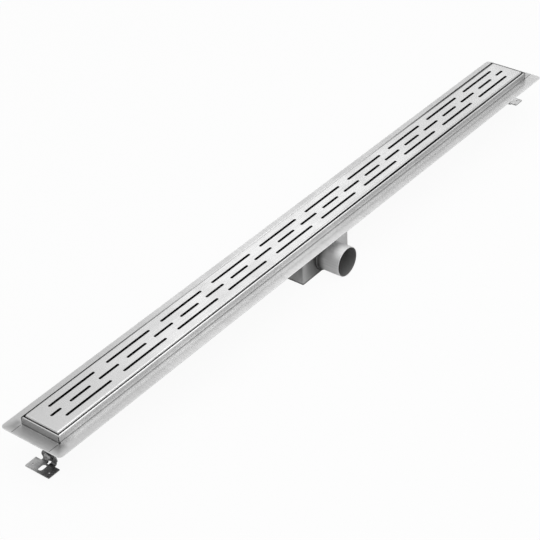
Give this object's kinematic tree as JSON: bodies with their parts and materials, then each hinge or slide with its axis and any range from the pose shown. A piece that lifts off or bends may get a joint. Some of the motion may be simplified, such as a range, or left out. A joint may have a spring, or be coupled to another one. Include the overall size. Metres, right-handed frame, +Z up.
{
  "type": "linear shower drain",
  "caption": "Linear shower drain: folded stainless channel with tiling flange, slotted cover, side-outlet trap box and levelling feet.",
  "frame": {"origin": "centre of the trap box's underside", "axes": "+X along the channel, the outlet spigot points along -Y, +Z up through the cover"},
  "size_m": [1, 0.1042, 0.064],
  "materials": {
    "channel_steel": "fine brushed stainless sheet",
    "cover_steel": "bright satin stainless sheet",
    "foot_steel": "mill stainless and zinc-plated steel",
    "trap_plastic": "moulded dark plastic",
    "black_rubber": "matt black rubber"
  },
  "bodies": {
    "drain": {"channel_pan": "channel_steel", "near_end_cap": "channel_steel", "far_end_cap": "channel_steel", "cover": "cover_steel", "cover_pad_1": "black_rubber", "cover_pad_2": "black_rubber", "cover_pad_3": "black_rubber", "cover_pad_4": "black_rubber", "cover_pad_5": "black_rubber", "cover_pad_6": "black_rubber", "cover_pad_7": "black_rubber", "cover_pad_8": "black_rubber", "trap_wall": "channel_steel", "trap_base": "channel_steel", "outlet_pipe": "channel_steel", "seal_ring": "black_rubber", "dip_tube": "trap_plastic", "trap_cup": "trap_plastic", "hair_strainer": "trap_plastic", "near_foot_lug": "foot_steel", "far_foot_lug": "foot_steel"},
    "near_foot": {"near_foot_bracket": "foot_steel", "near_foot_screw": "foot_steel", "near_foot_washer": "foot_steel", "near_foot_nut": "foot_steel"},
    "far_foot": {"far_foot_bracket": "foot_steel", "far_foot_screw": "foot_steel", "far_foot_washer": "foot_steel", "far_foot_nut": "foot_steel"}
  },
  "joints": [
    {"name": "near_foot_level", "type": "slide", "parent": "drain", "child": "near_foot", "axis": [0, 0, 1], "range_m": [0, 0.018]},
    {"name": "far_foot_level", "type": "slide", "parent": "drain", "child": "far_foot", "axis": [0, 0, 1], "range_m": [0, 0.018]}
  ]
}
